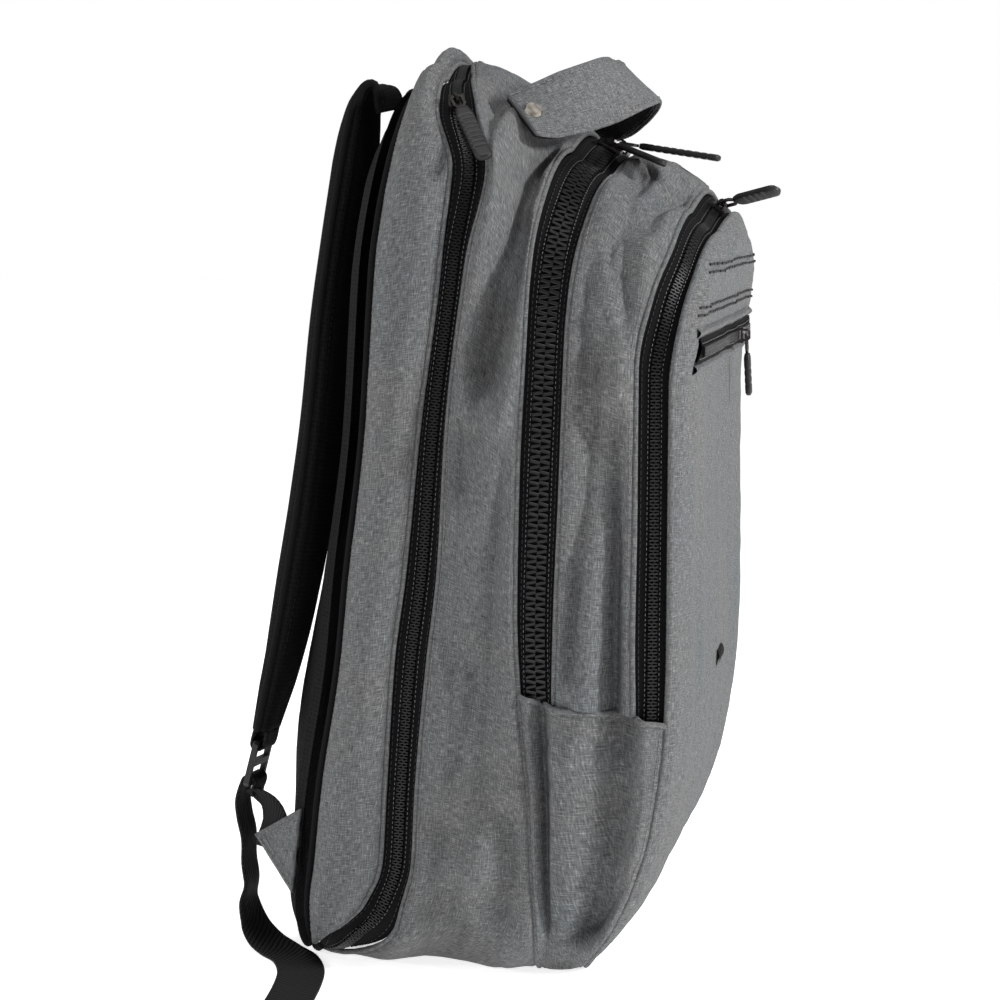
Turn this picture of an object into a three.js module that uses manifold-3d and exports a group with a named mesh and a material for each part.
// A soft laptop backpack that stands on its base, in millimetres, +Z up.
// The front pocket faces -Y and the shoulder straps are on the +Y side.
// The origin is on the floor under the flat of the base.

import * as THREE from 'three';
import { mergeVertices } from 'three/addons/utils/BufferGeometryUtils.js';
import Module from 'manifold-3d';

const wasm = await Module();
wasm.setup();

// The body
const BODY_HEIGHT = 478;
const BODY_WIDTH = 304;
const BODY_DEPTH = 205;
const BACK_Y = 82;
const TOP_ROUND = 95;
const BASE_ROUND = 34;
const CROWN_RISE = 10;
const SIDE_TAPER = 0.04;
const FIT = 0.3;

// Cloth and padding
const CLOTH = 2;
const GUSSET_PAD = 7;
const GUSSET_ROLL = 9;
const PANEL_PAD = 14;
const POCKET_CROWN = 8;
const TAPE_SINK = 3;
const TAPE_THICK = 1.4;

// Zips
const FINE_COIL = 5.5;
const COARSE_COIL = 11;
const COIL_RISE = 2;
const POCKET_ZIP_HEIGHT = BODY_HEIGHT * 0.682;
const POCKET_ZIP_LENGTH = 236;
const POCKET_TAPE = 14;
const SLIDER_LENGTH = 12;
const PLATE = 1.2;
const CROWN_LENGTH = 7;
const CROWN_HEIGHT = 3.9;
const CROWN_THICK = 1.6;
const WIRE = 1.4;
const BAIL_LENGTH = 11;
const BAIL_WIDTH = 7;
const LAPTOP_GRIP = 48;
const MAIN_GRIP = 46;
const FRONT_GRIP = 30;
const POCKET_GRIP = 24;
const GRIP_WIDTH = 9;
const GRIP_THICK = 3.6;

// Handle
const HANDLE_WIDTH = 36;
const HANDLE_FACE = 2.2;
const HANDLE_LINING = 1.6;
const HANDLE_LIFT = 0.6;
const RIVET_SIZE = 10;
const RIVET_THICK = 1.6;

// Straps
const STRAP_WIDTH = 64;
const STRAP_THICK = 17;
const STRAP_STAND = 30;
const WEB_WIDTH = 25;
const WEB_THICK = 1.6;
const LOCK_WIDTH = 33;
const LOCK_HEIGHT = 25;
const LOCK_THICK = 3;
const LOCK_BAR = 3.4;
const WING_HEIGHT = 46;
const WING_REACH = 28;
const WING_THICK = 2.4;

// Patch
const PATCH_WIDTH = 26;
const PATCH_HEIGHT = 9;
const PATCH_THICK = 1.2;

// Each seam runs round the bag. Its top and half width are shares of the
// body's height and half width, its rounds are shares of the named rounds.
const SEAMS = {
  back: { top: 0.985, half: 0.947, topRound: 1, baseRound: 1 },
  laptopRear: { top: 1, half: 0.985, topRound: 1, baseRound: 1 },
  laptopFront: { top: 1, half: 0.985, topRound: 1, baseRound: 1 },
  mainRear: { top: 0.92, half: 0.995, topRound: 0.95, baseRound: 0.9 },
  mainFront: { top: 0.891, half: 0.99, topRound: 0.93, baseRound: 0.84 },
  frontRear: { top: 0.853, half: 0.97, topRound: 0.84, baseRound: 0.8 },
  frontFace: { top: 0.824, half: 0.925, topRound: 0.8, baseRound: 0.78 },
};

// Where the parts of the outline begin, as shares of the way round from the
// middle of the base to the middle of the top.
const FLAT_END = 0.12;
const CORNER_END = 0.22;
const SIDE_END = 0.66;
const SHOULDER_END = 0.86;

// How far forward of the back each seam lies, as shares of the body's depth.
const SEAM_DEPTHS = [
  { round: 0, back: 0, laptopRear: 0.01, laptopFront: 0.0, mainRear: 0.585, mainFront: 0.62, frontRear: 0.66, frontFace: 0.693 },
  { round: 0.12, back: 0, laptopRear: 0.01, laptopFront: 0.0, mainRear: 0.59, mainFront: 0.62, frontRear: 0.67, frontFace: 0.702 },
  { round: 0.15, back: 0, laptopRear: 0.012, laptopFront: 0.107, mainRear: 0.595, mainFront: 0.625, frontRear: 0.68, frontFace: 0.715 },
  { round: 0.18, back: 0, laptopRear: 0.03, laptopFront: 0.205, mainRear: 0.6, mainFront: 0.63, frontRear: 0.7, frontFace: 0.741 },
  { round: 0.2, back: 0, laptopRear: 0.093, laptopFront: 0.239, mainRear: 0.602, mainFront: 0.635, frontRear: 0.72, frontFace: 0.768 },
  { round: 0.22, back: 0, laptopRear: 0.146, laptopFront: 0.254, mainRear: 0.6, mainFront: 0.64, frontRear: 0.75, frontFace: 0.795 },
  { round: 0.25, back: 0.012, laptopRear: 0.195, laptopFront: 0.283, mainRear: 0.592, mainFront: 0.642, frontRear: 0.79, frontFace: 0.839 },
  { round: 0.3, back: 0.032, laptopRear: 0.207, laptopFront: 0.293, mainRear: 0.585, mainFront: 0.645, frontRear: 0.825, frontFace: 0.888 },
  { round: 0.39, back: 0.085, laptopRear: 0.229, laptopFront: 0.324, mainRear: 0.556, mainFront: 0.646, frontRear: 0.844, frontFace: 0.927 },
  { round: 0.45, back: 0.107, laptopRear: 0.259, laptopFront: 0.351, mainRear: 0.546, mainFront: 0.649, frontRear: 0.841, frontFace: 0.932 },
  { round: 0.55, back: 0.151, laptopRear: 0.298, laptopFront: 0.373, mainRear: 0.551, mainFront: 0.661, frontRear: 0.844, frontFace: 0.932 },
  { round: 0.66, back: 0.176, laptopRear: 0.351, laptopFront: 0.424, mainRear: 0.568, mainFront: 0.673, frontRear: 0.844, frontFace: 0.932 },
  { round: 0.72, back: 0.195, laptopRear: 0.366, laptopFront: 0.463, mainRear: 0.576, mainFront: 0.683, frontRear: 0.873, frontFace: 0.951 },
  { round: 0.78, back: 0.208, laptopRear: 0.302, laptopFront: 0.41, mainRear: 0.592, mainFront: 0.705, frontRear: 0.912, frontFace: 0.978 },
  { round: 0.86, back: 0.212, laptopRear: 0.27, laptopFront: 0.345, mainRear: 0.606, mainFront: 0.723, frontRear: 0.926, frontFace: 0.997 },
  { round: 1, back: 0.205, laptopRear: 0.255, laptopFront: 0.3, mainRear: 0.61, mainFront: 0.732, frontRear: 0.93, frontFace: 1.006 },
];

// Stations round half of the bag, from the middle of the base to the middle of the top.
const STATIONS = [
  0, 0.06, 0.12, 0.135, 0.15, 0.165, 0.18, 0.2, 0.22, 0.26, 0.3, 0.345, 0.39, 0.44, 0.49, 0.535, 0.58,
  0.62, 0.66, 0.695, 0.73, 0.765, 0.8, 0.83, 0.86, 0.93, 1,
];
const BOOT_TOP = 0.39;
const LAPTOP_PAD_END = 0.184;
const LAPTOP_TAPE_END = 0.135;

// Folds in the cloth. Across and round are places on the band, as shares;
// broad and deep are shares of the fold size named below.
const FOLD_BROAD = 20;
const FOLD_DEEP = 12;
const FOLDS = [
  { band: 'main', across0: 0.98, round0: 0.82, across1: 0.3, round1: 0.62, broad: 0.55, deep: 0.9 },
  { band: 'main', across0: 0.98, round0: 0.7, across1: 0.75, round1: 0.63, broad: 0.5, deep: 0.5 },
  { band: 'main', across0: 0.5, round0: 0.16, across1: 0.45, round1: 0.21, broad: 0.7, deep: 0.9 },
  { band: 'main', across0: 0.2, round0: 0.5, across1: 0.35, round1: 0.35, broad: 0.9, deep: 0.3 },
  { band: 'mid', across0: 0.5, round0: 0.6, across1: 0.2, round1: 0.42, broad: 0.45, deep: 0.4 },
  { band: 'mid', across0: 0.75, round0: 0.58, across1: 0.6, round1: 0.4, broad: 0.45, deep: 0.7 },
  { band: 'mid', across0: 0.95, round0: 0.9, across1: 0.75, round1: 0.8, broad: 0.45, deep: 0.4 },
  { band: 'boot', across0: 0.45, round0: 0.39, across1: 0.5, round1: 0.18, broad: 0.5, deep: 0.8 },
  { band: 'boot', across0: 0.12, round0: 0.36, across1: 0.25, round1: 0.2, broad: 0.4, deep: 0.3 },
];

// The left shoulder strap, from its root on the back panel down to its padded end. Up is a
// share of the body's height, across of its half width, out of the strap's stand-off, broad
// of its width and thick of its thickness.
const STRAP_ROUTE = [
  { up: 0.942, across: 0.38, out: 0.1, broad: 0.8, thick: 0.3 },
  { up: 0.962, across: 0.385, out: 0.2, broad: 0.82, thick: 0.34 },
  { up: 0.966, across: 0.39, out: 0.34, broad: 0.84, thick: 0.4 },
  { up: 0.95, across: 0.4, out: 0.5, broad: 0.88, thick: 0.55 },
  { up: 0.915, across: 0.42, out: 0.58, broad: 0.93, thick: 0.85 },
  { up: 0.87, across: 0.45, out: 0.6, broad: 0.98, thick: 1 },
  { up: 0.8, across: 0.5, out: 0.62, broad: 1, thick: 1 },
  { up: 0.72, across: 0.54, out: 0.66, broad: 1, thick: 1 },
  { up: 0.62, across: 0.59, out: 0.68, broad: 1, thick: 1 },
  { up: 0.52, across: 0.63, out: 0.69, broad: 0.98, thick: 1 },
  { up: 0.43, across: 0.66, out: 0.73, broad: 0.93, thick: 1 },
  { up: 0.36, across: 0.68, out: 0.82, broad: 0.86, thick: 0.92 },
  { up: 0.3, across: 0.7, out: 0.9, broad: 0.76, thick: 0.8 },
  { up: 0.25, across: 0.715, out: 0.95, broad: 0.62, thick: 0.6 },
];

// The loose tail of the webbing, from the buckle to its cut end on the floor. Across is a
// share of the body's half width, behind of the strap's stand-off back from the lowest seam,
// up of the wing's height, and turn is how far its width has turned from across to lengthwise.
const TAIL_ROUTE = [
  { across: 0.737, behind: 1.52, up: 1.78, turn: 0 },
  { across: 0.737, behind: 1.5, up: 1.57, turn: 0 },
  { across: 0.73, behind: 1.43, up: 1.3, turn: 0 },
  { across: 0.73, behind: 1.43, up: 1, turn: 0 },
  { across: 0.733, behind: 1.38, up: 0.74, turn: 0 },
  { across: 0.74, behind: 1.43, up: 0.52, turn: 0.05 },
  { across: 0.75, behind: 1.3, up: 0.26, turn: 0.15 },
  { across: 0.785, behind: 1.05, up: 0.1, turn: 0.3 },
  { across: 0.84, behind: 0.7, up: 0.03, turn: 0.5 },
  { across: 0.93, behind: 0.3, up: 0.03, turn: 0.72 },
  { across: 1.06, behind: 0, up: 0.03, turn: 0.9 },
  { across: 1.22, behind: -0.17, up: 0.03, turn: 1 },
  { across: 1.58, behind: -0.37, up: 0.03, turn: 1 },
];

// The handle from its near end to its middle. Across is a share of the body's half width,
// forward of its depth, up of its height; in, back and rise turn its width.
const HANDLE_ROUTE = [
  { across: 0.612, forward: 0.501, up: 0.928, in: 0.6, back: 0.46, rise: 0.65 },
  { across: 0.565, forward: 0.559, up: 0.938, in: 0.5, back: 0.3, rise: 0.8 },
  { across: 0.48, forward: 0.623, up: 0.949, in: 0.4, back: 0.15, rise: 0.9 },
  { across: 0.34, forward: 0.681, up: 0.961, in: 0.25, back: 0.25, rise: 0.93 },
  { across: 0.17, forward: 0.719, up: 0.972, in: 0.08, back: 0.6, rise: 0.79 },
  { across: 0, forward: 0.732, up: 0.975, in: 0, back: 0.79, rise: 0.62 },
];

const mix = THREE.MathUtils.lerp;
const share = (at, low, high) => THREE.MathUtils.clamp((at - low) / (high - low), 0, 1);
const vector = (x, y, z) => new THREE.Vector3(x, y, z);

// Reads a column of a table at a place between its rows, along a smooth curve that
// doesn't run past its rows.
function readTable(rows, key, column, at) {
  const rise = (j) => (rows[j + 1][column] - rows[j][column]) / (rows[j + 1][key] - rows[j][key]);
  const slope = (j) => {
    if (j === 0 || j === rows.length - 1) return 0;
    const [before, after] = [rise(j - 1), rise(j)];
    return before * after > 0 ? (2 * before * after) / (before + after) : 0;
  };
  const i = THREE.MathUtils.clamp(rows.findIndex((row) => row[key] >= at), 1, rows.length - 1);
  const [a, b] = [rows[i - 1], rows[i]];
  const step = b[key] - a[key];
  const t = (at - a[key]) / step;
  const s = 1 - t;
  const ends = a[column] * s * s * (1 + 2 * t) + b[column] * t * t * (1 + 2 * s);
  return ends + step * (slope(i - 1) * t * s * s - slope(i) * t * t * s);
}

// A point on a seam. Round runs from the middle of the base to the middle of the top, and
// side is 1 on the +X half and -1 on the other.
function seamPoint(name, round, side) {
  const seam = SEAMS[name];
  const top = seam.top * BODY_HEIGHT;
  const half = seam.half * BODY_WIDTH / 2;
  const topRound = seam.topRound * TOP_ROUND;
  const baseRound = seam.baseRound * BASE_ROUND;
  const springing = top - CROWN_RISE - topRound;
  let x = half;
  let z = mix(baseRound, springing, share(round, CORNER_END, SIDE_END));
  if (round < FLAT_END) {
    x = (half - baseRound) * round / FLAT_END;
    z = 0;
  } else if (round < CORNER_END) {
    const angle = share(round, FLAT_END, CORNER_END) * Math.PI / 2;
    x = half - baseRound * (1 - Math.sin(angle));
    z = baseRound * (1 - Math.cos(angle));
  } else if (round > SHOULDER_END) {
    const inward = share(round, SHOULDER_END, 1);
    x = (half - topRound) * (1 - inward);
    z = top - CROWN_RISE * (1 - Math.sin(inward * Math.PI / 2));
  } else if (round > SIDE_END) {
    const angle = share(round, SIDE_END, SHOULDER_END) * Math.PI / 2;
    x = half - topRound * (1 - Math.cos(angle));
    z = springing + topRound * Math.sin(angle);
  }
  const taper = 1 - SIDE_TAPER * (z / top) ** 2;
  const forward = readTable(SEAM_DEPTHS, 'round', name, round) * BODY_DEPTH;
  return vector(side * x * taper, BACK_Y - forward, z);
}

// The outward direction of the wall, square to the seam in the X-Z plane.
function outward(name, round, side) {
  const step = 0.01;
  const low = seamPoint(name, Math.max(round - step, 0), side);
  const high = seamPoint(name, Math.min(round + step, 1), side);
  const along = high.sub(low);
  return vector(side * along.z, 0, -side * along.x).normalize();
}

// How far round a seam is at a height, above the base's corner.
function roundAtHeight(name, height) {
  let low = FLAT_END;
  let high = 1;
  for (let i = 0; i < 30; i += 1) {
    const middle = (low + high) / 2;
    if (seamPoint(name, middle, 1).z < height) low = middle;
    else high = middle;
  }
  return low;
}

function seamDepthAt(name, height) {
  return seamPoint(name, roundAtHeight(name, height), 1).y;
}

// The depth of the folds at a place on a band, in millimetres.
function foldDepth(band, across, round, width) {
  const girth = BODY_HEIGHT + BODY_WIDTH;
  let depth = 0;
  for (const fold of FOLDS.filter((row) => row.band === band)) {
    const start = new THREE.Vector2(fold.across0 * width, fold.round0 * girth);
    const run = new THREE.Vector2(fold.across1 * width, fold.round1 * girth).sub(start);
    const here = new THREE.Vector2(across * width, round * girth).sub(start);
    const along = THREE.MathUtils.clamp(here.dot(run) / run.lengthSq(), 0, 1);
    const off = here.sub(run.multiplyScalar(along)).length() / (fold.broad * FOLD_BROAD);
    depth += fold.deep * FOLD_DEEP * Math.exp(-off * off);
  }
  return depth;
}

// Builds a closed solid from rings of points of equal length, with its faces turned outward.
function solidFromRings(rings, closed, caps) {
  const count = rings[0].length;
  const points = rings.flat();
  const triangles = [];
  const last = closed ? rings.length : rings.length - 1;
  for (let i = 0; i < last; i += 1) {
    const next = (i + 1) % rings.length;
    for (let j = 0; j < count; j += 1) {
      const k = (j + 1) % count;
      const [a, b, c, d] = [i * count + j, i * count + k, next * count + k, next * count + j];
      triangles.push([a, b, c], [a, c, d]);
    }
  }
  if (!closed) {
    const end = (rings.length - 1) * count;
    for (const [a, b, c] of caps) {
      triangles.push([a, c, b], [end + a, end + b, end + c]);
    }
  }
  return orientedGeometry(points, triangles);
}

function orientedGeometry(points, triangles) {
  let volume = 0;
  for (const [a, b, c] of triangles) {
    volume += points[a].dot(points[b].clone().cross(points[c]));
  }
  const order = volume < 0 ? ([a, b, c]) => [a, c, b] : (corner) => corner;
  const geometry = new THREE.BufferGeometry();
  const numbers = points.flatMap((point) => point.toArray());
  geometry.setAttribute('position', new THREE.Float32BufferAttribute(numbers, 3));
  geometry.setIndex(triangles.flatMap(order));
  geometry.computeVertexNormals();
  return geometry;
}

// Triangles of a flat outline, as corner numbers that turn the same way as the outline.
function capOf(outline) {
  const corners = outline.map(([x, y]) => new THREE.Vector2(x, y));
  const turn = Math.sign(THREE.ShapeUtils.area(corners));
  return THREE.ShapeUtils.triangulateShape(corners, []).map((face) => {
    const same = Math.sign(THREE.ShapeUtils.area(face.map((i) => corners[i]))) === turn;
    return same ? face : [...face].reverse();
  });
}

// A fan over a convex outline of the given number of corners.
function fanOf(count) {
  return Array.from({ length: count - 2 }, (_, i) => [0, i + 1, i + 2]);
}

// The stations of a whole ring, or of an arch that is open below a height on both sides.
function stationsFrom(start) {
  const half = start > 0 ? [start, ...STATIONS.filter((at) => at > start + 0.01)] : STATIONS;
  const right = half.map((round) => ({ round, side: 1 }));
  const left = half.map((round) => ({ round, side: -1 })).reverse().slice(1);
  return start > 0 ? [...right, ...left] : [...right, ...left.slice(0, -1)];
}

// The stations of the U-shaped boot, open at its top.
function bootStations() {
  const half = STATIONS.filter((at) => at < BOOT_TOP - 0.01).concat(BOOT_TOP);
  const right = half.map((round) => ({ round, side: 1 })).reverse();
  return [...right, ...half.slice(1).map((round) => ({ round, side: -1 }))];
}

// A band of cloth that runs across two or more seams. The outer and inner skins are rows of
// [place across, swell, depth under the swell]: the whole numbers are the seams, in their
// order. The band is flat under the base, and is tucked in by its folds.
function bandSolid({ seams, outer, inner, band, stations, closed, trim = FIT }) {
  const last = seams.length - 1;
  const section = [...outer, ...[...inner].reverse()];
  const rings = stations.map(({ round, side }) => {
    const places = seams.map((name) => seamPoint(name, round, side));
    const normals = seams.map((name) => outward(name, round, side));
    const length = places.slice(1).reduce((sum, place, i) => sum + place.distanceTo(places[i]), 0);
    const level = share(round, FLAT_END, CORNER_END);
    return section.map(([across, out, under = 0]) => {
      const i = Math.min(Math.floor(across), last - 1);
      const gap = places[i].distanceTo(places[i + 1]);
      const low = i === 0 ? trim / 2 / gap : 0;
      const high = i === last - 1 ? 1 - trim / 2 / gap : 1;
      const along = THREE.MathUtils.clamp(across - i, low, high);
      const fold = level * foldDepth(band, across / last, round, length);
      const tuck = out * (out > 0 ? level : 1) - under - fold;
      const normal = normals[i].clone().lerp(normals[i + 1], across - i).normalize();
      return places[i].clone().lerp(places[i + 1], along).addScaledVector(normal, tuck);
    });
  });
  const outline = section.map(([across, out, under = 0]) => [across * BODY_DEPTH, out - under]);
  return solidFromRings(rings, closed, capOf(outline));
}

// The middle of the tape between two seams: its place, its outward direction, the way
// across it and the way along it.
function tapeFrame(rear, front, round, side) {
  const middle = (at) => seamPoint(rear, at, side).lerp(seamPoint(front, at, side), 0.5);
  const step = 0.01;
  const travel = middle(Math.min(round + step, 1)).sub(middle(Math.min(round, 1 - step)));
  const across = seamPoint(front, round, side).sub(seamPoint(rear, round, side)).normalize();
  const wall = outward(rear, round, side).add(outward(front, round, side)).normalize();
  const normal = wall.clone().addScaledVector(across, -wall.dot(across)).normalize();
  return { middle: middle(round), wall, normal, across, travel: travel.normalize() };
}

// A coil that lies along the middle of the tape between two seams.
function coilSolid(rear, front, coilWidth, stations) {
  const corners = [[-0.5, 0], [0.5, 0], [0.32, COIL_RISE], [-0.32, COIL_RISE]];
  const rings = stations.map(({ round, side }) => {
    const frame = tapeFrame(rear, front, round, side);
    const seat = frame.middle.clone().addScaledVector(frame.wall, -TAPE_SINK);
    return corners.map(([wide, rise]) => seat.clone()
      .addScaledVector(frame.across, wide * coilWidth)
      .addScaledVector(frame.normal, FIT + rise));
  });
  return solidFromRings(rings, false, fanOf(corners.length));
}

// A padded plate or dish inside a seam. Each skin has rows of reach from the centre, as a
// share, and distance toward -Y from the seam.
const RIM_REACH = 0.91;
function panelSolid(name, trim, outerRows, innerRows) {
  const beyond = trim > 0 ? Math.max : Math.min;
  const stations = stationsFrom(0);
  const centreHeight = SEAMS[name].top * BODY_HEIGHT / 2;
  const skin = ({ reach, out }) => stations.map(({ round, side }) => {
    const rim = seamPoint(name, round, side);
    const height = mix(centreHeight, rim.z, reach);
    const inside = seamDepthAt(name, height);
    const y = reach > RIM_REACH ? beyond(rim.y, inside) : inside;
    return vector(rim.x * reach, y + trim - out, height);
  });
  const rings = [...outerRows.map(skin), ...[...innerRows].reverse().map(skin)];
  const count = stations.length;
  const points = rings.flat();
  const triangles = [];
  for (let i = 0; i < rings.length - 1; i += 1) {
    for (let j = 0; j < count; j += 1) {
      const k = (j + 1) % count;
      const [a, b, c, d] = [i * count + j, i * count + k, (i + 1) * count + k, (i + 1) * count + j];
      triangles.push([a, b, c], [a, c, d]);
    }
  }
  const centre = (row, ring) => {
    const hub = points.length;
    points.push(vector(0, seamDepthAt(name, centreHeight) + trim - row.out, centreHeight));
    for (let j = 0; j < count; j += 1) {
      const k = (j + 1) % count;
      const pair = ring === 0 ? [j, k] : [ring * count + k, ring * count + j];
      triangles.push([hub, ...pair].reverse());
    }
  };
  centre(outerRows[0], 0);
  centre(innerRows[0], rings.length - 1);
  return orientedGeometry(points, triangles);
}

// A flat or padded ribbon swept along stations of {at, wide, broad, thick}. The section is a
// list of corners as shares of the width and the thickness.
const FLAT_SECTION = [[-0.5, -0.5], [0.5, -0.5], [0.5, 0.5], [-0.5, 0.5]];
const PAD_SECTION = [
  [-0.5, 0], [-0.44, -0.42], [0, -0.5], [0.44, -0.42], [0.5, 0], [0.44, 0.42], [0, 0.5], [-0.44, 0.42],
];
function ribbonSolid(stations, section) {
  const rings = stations.map((station, i) => {
    const before = stations[Math.max(i - 1, 0)].at;
    const after = stations[Math.min(i + 1, stations.length - 1)].at;
    const along = after.clone().sub(before).normalize();
    const wide = station.wide.clone().addScaledVector(along, -station.wide.dot(along)).normalize();
    const face = along.clone().cross(wide);
    return section.map(([across, out]) => station.at.clone()
      .addScaledVector(wide, across * station.broad)
      .addScaledVector(face, out * station.thick));
  });
  return solidFromRings(rings, false, fanOf(section.length));
}

// Stations on a smooth curve through the given ones, with one more between each two.
function smoothed(rows, broad, thick) {
  const curve = new THREE.CatmullRomCurve3(rows.map((row) => row.at), false, 'centripetal');
  const steps = 2 * (rows.length - 1);
  return Array.from({ length: steps + 1 }, (_, i) => {
    const [low, high] = [Math.floor(i / 2), Math.ceil(i / 2)];
    const wide = rows[low].wide.clone().lerp(rows[high].wide, 0.5).normalize();
    return { at: curve.getPoint(i / steps), wide, broad, thick };
  });
}

// Joins closed geometries into one.
function joined(parts) {
  const solids = parts.map((geometry) => {
    const bare = geometry.clone();
    bare.deleteAttribute('normal');
    bare.deleteAttribute('uv');
    const merged = mergeVertices(bare, 1e-4);
    return new wasm.Manifold(new wasm.Mesh({
      numProp: 3,
      vertProperties: new Float32Array(merged.attributes.position.array),
      triVerts: new Uint32Array(merged.index.array),
    }));
  });
  const mesh = solids.reduce((sum, solid) => sum.add(solid)).getMesh();
  const geometry = new THREE.BufferGeometry();
  geometry.setAttribute('position', new THREE.BufferAttribute(mesh.vertProperties, 3));
  geometry.setIndex(new THREE.BufferAttribute(mesh.triVerts, 1));
  geometry.computeVertexNormals();
  return geometry;
}

function material(color, roughness, metalness = 0) {
  return new THREE.MeshStandardMaterial({ color, roughness, metalness });
}
const FINISHES = {
  cloth: () => material('#77797a', 0.95),
  tape: () => material('#121212', 0.9),
  coil: () => material('#1b1b1b', 0.45),
  mesh: () => material('#101011', 0.95),
  webbing: () => material('#151516', 0.85),
  plastic: () => material('#18181a', 0.4),
  rubber: () => material('#1e1d20', 0.55),
  gunmetal: () => material('#4a4745', 0.3, 1),
  pewter: () => material('#a59c8c', 0.35, 1),
};

const backpack = new THREE.Group();
function addPiece(name, geometry, finish, parent = backpack) {
  const mesh = new THREE.Mesh(geometry, FINISHES[finish]());
  mesh.name = name;
  parent.add(mesh);
  return mesh;
}

// Body walls
const panelRim = 7;
addPiece('back_panel', panelSolid('back', 2 * FIT, [
  { reach: 0.5, out: -PANEL_PAD },
  { reach: 0.84, out: -PANEL_PAD },
  { reach: 0.95, out: -PANEL_PAD * 0.86 },
  { reach: 1, out: -panelRim },
], [
  { reach: 0.5, out: 0 },
  { reach: 0.93, out: 0 },
  { reach: 1, out: 0 },
]), 'mesh');

addPiece('laptop_gusset', bandSolid({
  seams: ['back', 'laptopRear'],
  band: 'laptop',
  outer: [[0, -1], [0.12, GUSSET_ROLL * 0.5], [0.35, GUSSET_ROLL], [0.62, GUSSET_ROLL * 0.9],
    [0.88, GUSSET_ROLL * 0.35], [1, -TAPE_SINK]],
  inner: [[0, 0, GUSSET_PAD], [1, 0, GUSSET_PAD]],
  stations: stationsFrom(LAPTOP_PAD_END),
  closed: false,
}), 'cloth');

const tapeOuter = [[0, -TAPE_SINK], [1, -TAPE_SINK]];
const tapeInner = [[0, -TAPE_SINK, TAPE_THICK], [1, -TAPE_SINK, TAPE_THICK]];
const zips = [
  { name: 'laptop_zip', rear: 'laptopRear', front: 'laptopFront', start: LAPTOP_TAPE_END, coil: FINE_COIL },
  { name: 'main_zip', rear: 'mainRear', front: 'mainFront', start: BOOT_TOP, coil: COARSE_COIL },
  { name: 'front_zip', rear: 'frontRear', front: 'frontFace', start: BOOT_TOP, coil: FINE_COIL },
];
for (const zip of zips) {
  const stations = stationsFrom(zip.start);
  addPiece(`${zip.name}_tape`, bandSolid({
    seams: [zip.rear, zip.front],
    band: 'tape',
    outer: tapeOuter,
    inner: tapeInner,
    stations,
    closed: false,
    trim: 3 * FIT,
  }), 'tape');
  addPiece(`${zip.name}_coil`, coilSolid(zip.rear, zip.front, zip.coil, stations), 'coil');
}

addPiece('main_gusset', bandSolid({
  seams: ['laptopFront', 'mainRear'],
  band: 'main',
  outer: [[0, -TAPE_SINK / 2], [0.07, 2], [0.22, 5], [0.4, 6], [0.58, 6], [0.76, 5], [0.92, 3], [1, -1]],
  inner: [[0, -TAPE_SINK, CLOTH], [0.22, 5, CLOTH], [0.58, 6, CLOTH], [1, -TAPE_SINK, CLOTH]],
  stations: stationsFrom(0),
  closed: true,
}), 'cloth');

addPiece('mid_gusset', bandSolid({
  seams: ['mainFront', 'frontRear'],
  band: 'mid',
  outer: [[0, -1], [0.1, 2.5], [0.3, 5], [0.52, 6], [0.75, 5], [0.93, 2.5], [1, -1]],
  inner: [[0, -TAPE_SINK, CLOTH], [0.3, 5, CLOTH], [0.75, 5, CLOTH], [1, -TAPE_SINK, CLOTH]],
  stations: stationsFrom(BOOT_TOP),
  closed: false,
}), 'cloth');

addPiece('base_boot', bandSolid({
  seams: ['mainRear', 'mainFront', 'frontRear', 'frontFace'],
  band: 'boot',
  outer: [[0, -1], [0.35, 1.5], [1, 2.5], [1.3, 4], [1.6, 5], [2, 4], [2.7, 3], [3, -1]],
  inner: [[0, -TAPE_SINK, CLOTH], [1, 2.5, CLOTH], [1.6, 5, CLOTH], [2, 4, CLOTH], [3, -TAPE_SINK, CLOTH]],
  stations: bootStations(),
  closed: false,
}), 'cloth');

addPiece('front_pocket', panelSolid('frontFace', -2 * FIT, [
  { reach: 0.4, out: POCKET_CROWN },
  { reach: 0.72, out: POCKET_CROWN * 0.93 },
  { reach: 0.9, out: POCKET_CROWN * 0.68 },
  { reach: 0.98, out: POCKET_CROWN * 0.32 },
  { reach: 1, out: 0 },
], [
  { reach: 0.4, out: POCKET_CROWN - CLOTH },
  { reach: 0.88, out: POCKET_CROWN * 0.68 - CLOTH },
  { reach: 0.965, out: 0 },
]), 'cloth');

// Zip sliders, each with a wire bail and a moulded grip that swing on the slider's crown

// A box shape centred on the origin, with its sides along the axes.
function block(length, breadth, height) {
  return new THREE.BoxGeometry(length, breadth, height);
}

// An outline with round ends, drawn along X from the origin.
function gripShape(length) {
  const shape = new THREE.Shape();
  const headHalf = GRIP_WIDTH * 0.36;
  const tailHalf = GRIP_WIDTH / 2;
  shape.moveTo(0, -headHalf);
  shape.lineTo(length * 0.14, -tailHalf);
  shape.lineTo(length - tailHalf, -tailHalf);
  shape.absarc(length - tailHalf, 0, tailHalf, -Math.PI / 2, Math.PI / 2, false);
  shape.lineTo(length * 0.14, tailHalf);
  shape.lineTo(0, headHalf);
  return shape;
}

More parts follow.
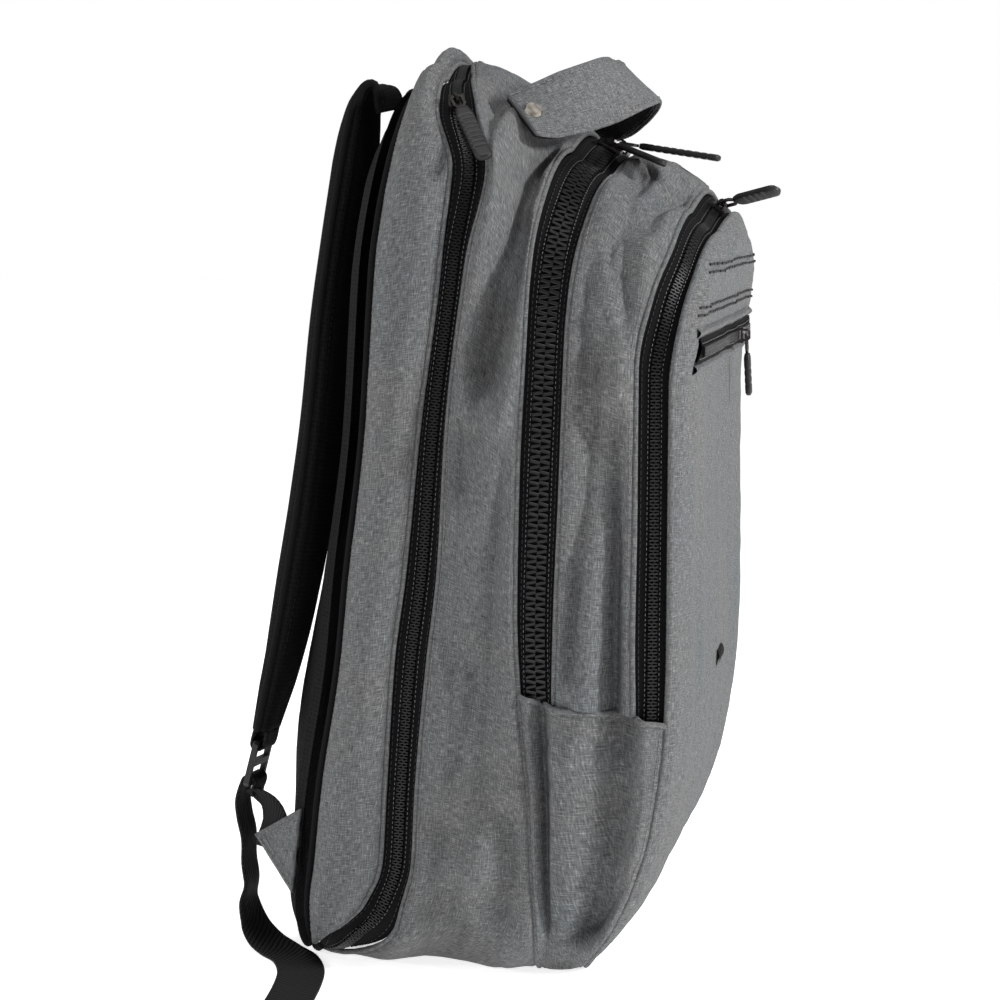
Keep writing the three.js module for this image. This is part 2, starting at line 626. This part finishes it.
// The slider's own frame: X along the pull, Y across it, Z out from the coil's top.
const boreHeight = CROWN_HEIGHT - PLATE;
function crownSolid() {
  const half = CROWN_LENGTH / 2;
  const arch = new THREE.Shape();
  arch.moveTo(-half, 0);
  arch.lineTo(half, 0);
  arch.lineTo(half, CROWN_HEIGHT * 0.6);
  arch.lineTo(half * 0.6, CROWN_HEIGHT);
  arch.lineTo(-half * 0.6, CROWN_HEIGHT);
  arch.lineTo(-half, CROWN_HEIGHT * 0.6);
  const bore = new THREE.Path();
  bore.moveTo(-half + PLATE, 0.2);
  bore.lineTo(-half + PLATE, boreHeight);
  bore.lineTo(half - PLATE, boreHeight);
  bore.lineTo(half - PLATE, 0.2);
  arch.holes.push(bore);
  const geometry = new THREE.ExtrudeGeometry(arch, { depth: CROWN_THICK, bevelEnabled: false });
  return geometry.translate(0, 0, -CROWN_THICK / 2).rotateX(Math.PI / 2);
}

// The body straddles the coil; its travel lies along X before it is turned by swing.
function sliderSolid(coilWidth, swing) {
  const inner = coilWidth + 2 * FIT;
  const leg = COIL_RISE - FIT;
  const plate = block(SLIDER_LENGTH, inner + 2 * PLATE, PLATE).translate(0, 0, PLATE / 2);
  const legs = [-1, 1].map((side) => block(SLIDER_LENGTH, PLATE, leg + PLATE)
    .translate(0, side * (inner + PLATE) / 2, PLATE / 2 - leg / 2 + FIT / 2));
  const crown = crownSolid().translate(0, 0, PLATE - 0.2);
  return joined([...[plate, ...legs].map((part) => part.rotateZ(-swing)), crown]);
}

function bailSolid() {
  const outer = new THREE.Shape();
  const half = BAIL_WIDTH / 2;
  outer.moveTo(-WIRE / 2, -half);
  outer.lineTo(BAIL_LENGTH - half, -half);
  outer.lineTo(BAIL_LENGTH - WIRE / 2, -half * 0.5);
  outer.lineTo(BAIL_LENGTH - WIRE / 2, half * 0.5);
  outer.lineTo(BAIL_LENGTH - half, half);
  outer.lineTo(-WIRE / 2, half);
  const eye = new THREE.Path();
  const inside = half - WIRE;
  eye.moveTo(WIRE / 2, -inside);
  eye.lineTo(WIRE / 2, inside);
  eye.lineTo(BAIL_LENGTH - half - WIRE * 0.4, inside);
  eye.lineTo(BAIL_LENGTH - WIRE * 1.5, half * 0.3);
  eye.lineTo(BAIL_LENGTH - WIRE * 1.5, -half * 0.3);
  eye.lineTo(BAIL_LENGTH - half - WIRE * 0.4, -inside);
  outer.holes.push(eye);
  const geometry = new THREE.ExtrudeGeometry(outer, { depth: WIRE, bevelEnabled: false });
  return geometry.translate(0, 0, -WIRE / 2);
}

function gripSolid(length) {
  const settings = { depth: GRIP_THICK, bevelEnabled: false, curveSegments: 5 };
  const geometry = new THREE.ExtrudeGeometry(gripShape(length), settings);
  return geometry.translate(BAIL_LENGTH - WIRE / 2 + FIT, 0, -GRIP_THICK / 2);
}

// Stands a slider on its coil. Pull is the way its grip points.
const pinHeight = PLATE + boreHeight / 2;
function addSlider({ name, seat, normal, travel, pull, coil, grip }) {
  const lift = Math.asin(pull.clone().normalize().dot(normal));
  const flat = pull.clone().addScaledVector(normal, -pull.dot(normal)).normalize();
  const across = normal.clone().cross(flat);
  const swing = Math.atan2(flat.clone().cross(travel).dot(normal), flat.dot(travel));
  const holder = new THREE.Group();
  holder.quaternion.setFromRotationMatrix(new THREE.Matrix4().makeBasis(flat, across, normal));
  holder.position.copy(seat);
  backpack.add(holder);
  addPiece(`${name}_slider`, sliderSolid(coil, -swing), 'gunmetal', holder);
  const hinge = new THREE.Group();
  hinge.position.z = pinHeight;
  hinge.rotation.y = -lift;
  holder.add(hinge);
  addPiece(`${name}_bail`, bailSolid(), 'gunmetal', hinge);
  addPiece(`${name}_grip`, gripSolid(grip), 'rubber', hinge);
}

// Where a slider stands on a coil.
function coilSeat(rear, front, round, side) {
  const { middle, wall, normal, travel } = tapeFrame(rear, front, round, side);
  const seat = middle.addScaledVector(wall, -TAPE_SINK).addScaledVector(normal, 2 * FIT + COIL_RISE);
  return { seat, normal, travel };
}

const degrees = THREE.MathUtils.degToRad;
addSlider({
  name: 'laptop',
  ...coilSeat('laptopRear', 'laptopFront', 0.79, -1),
  pull: vector(-0.7, -0.4, -0.52),
  coil: FINE_COIL,
  grip: LAPTOP_GRIP,
});
addSlider({
  name: 'main_near',
  ...coilSeat('mainRear', 'mainFront', 0.965, -1),
  pull: vector(-0.76, -0.6, -0.2),
  coil: COARSE_COIL,
  grip: MAIN_GRIP,
});
addSlider({
  name: 'main_far',
  ...coilSeat('mainRear', 'mainFront', 0.965, 1),
  pull: vector(0.1, -0.9, -0.14),
  coil: COARSE_COIL,
  grip: MAIN_GRIP,
});
addSlider({
  name: 'front',
  ...coilSeat('frontRear', 'frontFace', 0.95, -1),
  pull: vector(-0.55, -0.8, 0.2),
  coil: FINE_COIL,
  grip: FRONT_GRIP,
});

// Where a straight line from outside first meets a piece.
function meets(piece, from, direction) {
  const ray = new THREE.Raycaster(from, direction.clone().normalize());
  return ray.intersectObject(piece)[0];
}
const frontPocket = backpack.getObjectByName('front_pocket');
// How far forward the pocket's face is, read a little further in where the place is beyond it.
function pocketFace(x, z) {
  let hit;
  for (let inward = 1; !hit && inward > 0; inward -= 0.02) {
    hit = meets(frontPocket, vector(x * inward, -2 * BODY_DEPTH, z), vector(0, 1, 0));
  }
  return hit.point.y;
}

// A strip on the pocket's face between two distances across, with a height and a place out.
function faceStrip(low, high, bottom, top, out, thick) {
  const steps = Math.max(2, Math.round((high - low) / 12));
  const rings = Array.from({ length: steps + 1 }, (_, i) => {
    const x = mix(low, high, i / steps);
    const place = (z, lift) => vector(x, pocketFace(x, z) - lift, z);
    return [place(bottom, out), place(top, out), place(top, out + thick), place(bottom, out + thick)];
  });
  return solidFromRings(rings, false, fanOf(4));
}
const zipHalf = POCKET_ZIP_LENGTH / 2;
const zipLow = POCKET_ZIP_HEIGHT - POCKET_TAPE / 2;
const zipHigh = POCKET_ZIP_HEIGHT + POCKET_TAPE / 2;
const faceGap = 3 * FIT;
addPiece('pocket_zip_tape', faceStrip(-zipHalf, zipHalf, zipLow, zipHigh, faceGap, TAPE_THICK), 'tape');
const coilBottom = POCKET_ZIP_HEIGHT - FINE_COIL / 2;
const coilOut = faceGap + TAPE_THICK + 3 * FIT;
addPiece('pocket_zip_coil', faceStrip(
  -zipHalf + FINE_COIL,
  zipHalf - FINE_COIL,
  coilBottom,
  coilBottom + FINE_COIL,
  coilOut,
  COIL_RISE,
), 'coil');
const pocketSliderX = 34;
const pocketSliderY = pocketFace(pocketSliderX, POCKET_ZIP_HEIGHT) - coilOut - COIL_RISE - FIT;
addSlider({
  name: 'pocket',
  seat: vector(pocketSliderX, pocketSliderY, POCKET_ZIP_HEIGHT),
  normal: vector(0, -1, 0),
  travel: vector(1, 0, 0),
  pull: vector(0.05, -0.05, -1),
  coil: FINE_COIL,
  grip: POCKET_GRIP,
});
const patchMiddle = BODY_HEIGHT * 0.31;
addPiece('front_patch', faceStrip(
  -PATCH_WIDTH / 2,
  PATCH_WIDTH / 2,
  patchMiddle - PATCH_HEIGHT / 2,
  patchMiddle + PATCH_HEIGHT / 2,
  faceGap,
  PATCH_THICK,
), 'webbing');

// Handle: a grey face over a black lining, riveted down on the gusset at both ends
const mainGusset = backpack.getObjectByName('main_gusset');
function handleRow(row) {
  const x = -row.across * BODY_WIDTH / 2;
  const y = BACK_Y - row.forward * BODY_DEPTH;
  return { at: vector(x, y, row.up * BODY_HEIGHT), wide: vector(row.in, row.back, row.rise).normalize() };
}
function handleEnd() {
  const { at, wide } = handleRow(HANDLE_ROUTE[0]);
  const hit = meets(mainGusset, vector(at.x, at.y, 2 * BODY_HEIGHT), vector(0, 0, -1));
  const normal = hit.face.normal.clone();
  const flat = wide.addScaledVector(normal, -wide.dot(normal)).normalize();
  return { at: hit.point.addScaledVector(normal, HANDLE_LINING + 2 * FIT + HANDLE_LIFT), wide: flat };
}
function handleFrames() {
  const half = [handleEnd(), ...HANDLE_ROUTE.slice(1).map(handleRow)];
  const far = half.slice(0, -1).reverse().map(({ at, wide }) => (
    { at: vector(-at.x, at.y, at.z), wide: vector(-wide.x, wide.y, wide.z) }));
  const stations = smoothed([...half, ...far], HANDLE_WIDTH, HANDLE_FACE);
  return stations.map(({ at, wide }, i) => {
    const before = stations[Math.max(i - 1, 0)].at;
    const after = stations[Math.min(i + 1, stations.length - 1)].at;
    return { at, wide, face: after.clone().sub(before).cross(wide).normalize() };
  });
}
const handle = handleFrames();
// Both layers list the side where they meet first, so that they twist alike.
function handleLayer(near, far) {
  const corners = [[-0.5, near], [0, near], [0.5, near], [0.5, far], [0, far], [-0.5, far]];
  const rings = handle.map(({ at, wide, face }) => corners.map(([across, out]) => at.clone()
    .addScaledVector(wide, across * HANDLE_WIDTH)
    .addScaledVector(face, out)));
  return solidFromRings(rings, false, fanOf(corners.length));
}
addPiece('handle_top', handleLayer(0, HANDLE_FACE), 'cloth');
addPiece('handle_under', handleLayer(-FIT, -FIT - HANDLE_LINING), 'webbing');
for (const [label, side] of [['left', 1], ['right', -1]]) {
  const { at, face } = handle[1];
  const middle = at.clone().addScaledVector(face, HANDLE_FACE + 3 * FIT + RIVET_THICK / 2);
  const disc = new THREE.CylinderGeometry(RIVET_SIZE * 0.42, RIVET_SIZE / 2, RIVET_THICK, 16);
  const rivet = addPiece(`handle_rivet_${label}`, disc, 'pewter');
  rivet.position.set(middle.x * side, middle.y, middle.z);
  rivet.quaternion.setFromUnitVectors(vector(0, 1, 0), vector(face.x * side, face.y, face.z));
}

// Shoulder straps, and what hangs from them
function panelRear(height) {
  return seamDepthAt('back', height) + 2 * FIT + PANEL_PAD;
}
function strapStations(side) {
  return STRAP_ROUTE.map((row) => {
    const z = row.up * BODY_HEIGHT;
    const y = panelRear(z) + row.out * STRAP_STAND;
    return {
      at: vector(side * row.across * BODY_WIDTH / 2, y, z),
      wide: vector(1, 0, 0),
      broad: row.broad * STRAP_WIDTH,
      thick: row.thick * STRAP_THICK,
    };
  });
}

// The frame at the strap's lower end: X across, Y to the rear and Z down along the strap.
function strapEnd(stations) {
  const [before, last] = stations.slice(-2);
  const down = last.at.clone().sub(before.at).normalize();
  const across = vector(1, 0, 0).addScaledVector(down, -down.x).normalize();
  const rear = across.clone().cross(down);
  const frame = new THREE.Matrix4().makeBasis(across.clone().negate(), rear, down).setPosition(last.at);
  return { frame, across, place: (rearward, along) => vector(0, rearward, along).applyMatrix4(frame) };
}

// The moulded buckle: a flat frame with two slots and three bars.
const turnRadius = Math.hypot(LOCK_BAR, LOCK_THICK) / 2 + FIT + WEB_THICK / 2;
const topBar = turnRadius + WEB_THICK + LOCK_BAR;
const bottomBar = topBar + LOCK_HEIGHT - LOCK_BAR;
function lockSolid() {
  const half = LOCK_WIDTH / 2;
  const slotHalf = (WEB_WIDTH + 1) / 2;
  const slot = (LOCK_HEIGHT - 3 * LOCK_BAR) / 2;
  const frame = new THREE.Shape();
  const corner = LOCK_BAR / 2;
  frame.moveTo(-half + corner, 0);
  frame.lineTo(half - corner, 0);
  frame.lineTo(half, corner);
  frame.lineTo(half, LOCK_HEIGHT - corner);
  frame.lineTo(half - corner, LOCK_HEIGHT);
  frame.lineTo(-half + corner, LOCK_HEIGHT);
  frame.lineTo(-half, LOCK_HEIGHT - corner);
  frame.lineTo(-half, corner);
  for (const start of [LOCK_BAR, 2 * LOCK_BAR + slot]) {
    const hole = new THREE.Path();
    hole.moveTo(-slotHalf, start);
    hole.lineTo(-slotHalf, start + slot);
    hole.lineTo(slotHalf, start + slot);
    hole.lineTo(slotHalf, start);
    frame.holes.push(hole);
  }
  const geometry = new THREE.ExtrudeGeometry(frame, { depth: LOCK_THICK, bevelEnabled: false });
  geometry.rotateX(Math.PI / 2).translate(0, LOCK_THICK / 2, topBar - LOCK_BAR / 2);
  return geometry;
}

// Points round a bar, from the rear to the front or back again.
function turnRound(place, bar, direction) {
  return [90, 54, 18, -18, -54, -90].map((angle) => {
    const turn = degrees(angle);
    return place(turnRadius * Math.sin(turn), bar + direction * turnRadius * Math.cos(turn));
  });
}

// The wing is a three-cornered tab, sewn behind the edge of the back panel.
function wingCorners(side) {
  const foot = WING_HEIGHT * 0.82;
  const edge = (z) => {
    const seam = seamPoint('back', roundAtHeight('back', z), side);
    return vector(seam.x, seam.y + 4 * FIT + panelRim + WING_THICK / 2, z);
  };
  const root = [edge(foot + WING_HEIGHT), edge(foot)];
  const heel = root[0].clone().lerp(root[1], 0.42);
  const tip = heel.clone().add(vector(-side * WING_REACH * 0.6, WING_REACH, 0));
  return { root, heel, tip };
}
function wingSolid({ root, tip }) {
  const corners = [root[0], tip, root[1]];
  const normal = tip.clone().sub(root[0]).cross(root[1].clone().sub(root[0])).normalize();
  const skin = (out) => corners.map((corner) => corner.clone().addScaledVector(normal, out));
  return solidFromRings([skin(-WING_THICK / 2), skin(WING_THICK / 2)], false, fanOf(3));
}

// The lower webbing runs from inside the wing's tip, up round the buckle's lowest bar and
// down again to its loose tail.
function webStations(side, end, { heel, tip }) {
  const run = tip.clone().sub(heel).normalize();
  const inside = vector(side * -run.y, side * run.x, 0);
  const seat = tip.clone()
    .addScaledVector(run, -WEB_WIDTH * 0.4)
    .addScaledVector(inside, (WING_THICK + WEB_THICK) / 2 + 4 * FIT);
  const front = end.place(-turnRadius, bottomBar + LOCK_BAR);
  const level = end.across.clone().multiplyScalar(-side);
  const turned = (amount) => run.clone().lerp(level, amount).normalize();
  const rise = [
    { at: seat.clone().setZ(seat.z - WEB_WIDTH * 0.3), wide: run },
    { at: seat.clone().setZ(seat.z + WEB_WIDTH * 0.15), wide: run },
    { at: seat.clone().lerp(front, 0.6), wide: turned(0.5) },
    { at: end.place(-turnRadius - 1, bottomBar + 2.5 * LOCK_BAR), wide: turned(0.9) },
    { at: front, wide: level },
  ];
  const turn = turnRound(end.place, bottomBar, -1).reverse().map((at) => ({ at, wide: level }));
  const tail = TAIL_ROUTE.map((row) => {
    const angle = row.turn * Math.PI / 2;
    const z = Math.max(row.up * WING_HEIGHT, WEB_THICK / 2 + FIT);
    return {
      at: vector(side * row.across * BODY_WIDTH / 2, BACK_Y + row.behind * STRAP_STAND, z),
      wide: vector(-side * Math.cos(angle), -Math.sin(angle), 0),
    };
  });
  return smoothed([...rise, ...turn, ...tail], WEB_WIDTH, WEB_THICK);
}

for (const [label, side] of [['left', -1], ['right', 1]]) {
  const stations = strapStations(side);
  addPiece(`shoulder_strap_${label}`, ribbonSolid(stations, PAD_SECTION), 'mesh');
  const end = strapEnd(stations);
  const loopRows = [
    end.place(turnRadius, FIT),
    ...turnRound(end.place, topBar, 1),
    end.place(-turnRadius, FIT),
  ].map((at) => ({ at, wide: end.across, broad: WEB_WIDTH, thick: WEB_THICK }));
  addPiece(`strap_loop_${label}`, ribbonSolid(loopRows, FLAT_SECTION), 'webbing');
  addPiece(`ladder_lock_${label}`, lockSolid().applyMatrix4(end.frame), 'plastic');
  const wing = wingCorners(side);
  addPiece(`strap_wing_${label}`, wingSolid(wing), 'cloth');
  addPiece(`lower_web_${label}`, ribbonSolid(webStations(side, end, wing), FLAT_SECTION), 'webbing');
}

export default backpack;
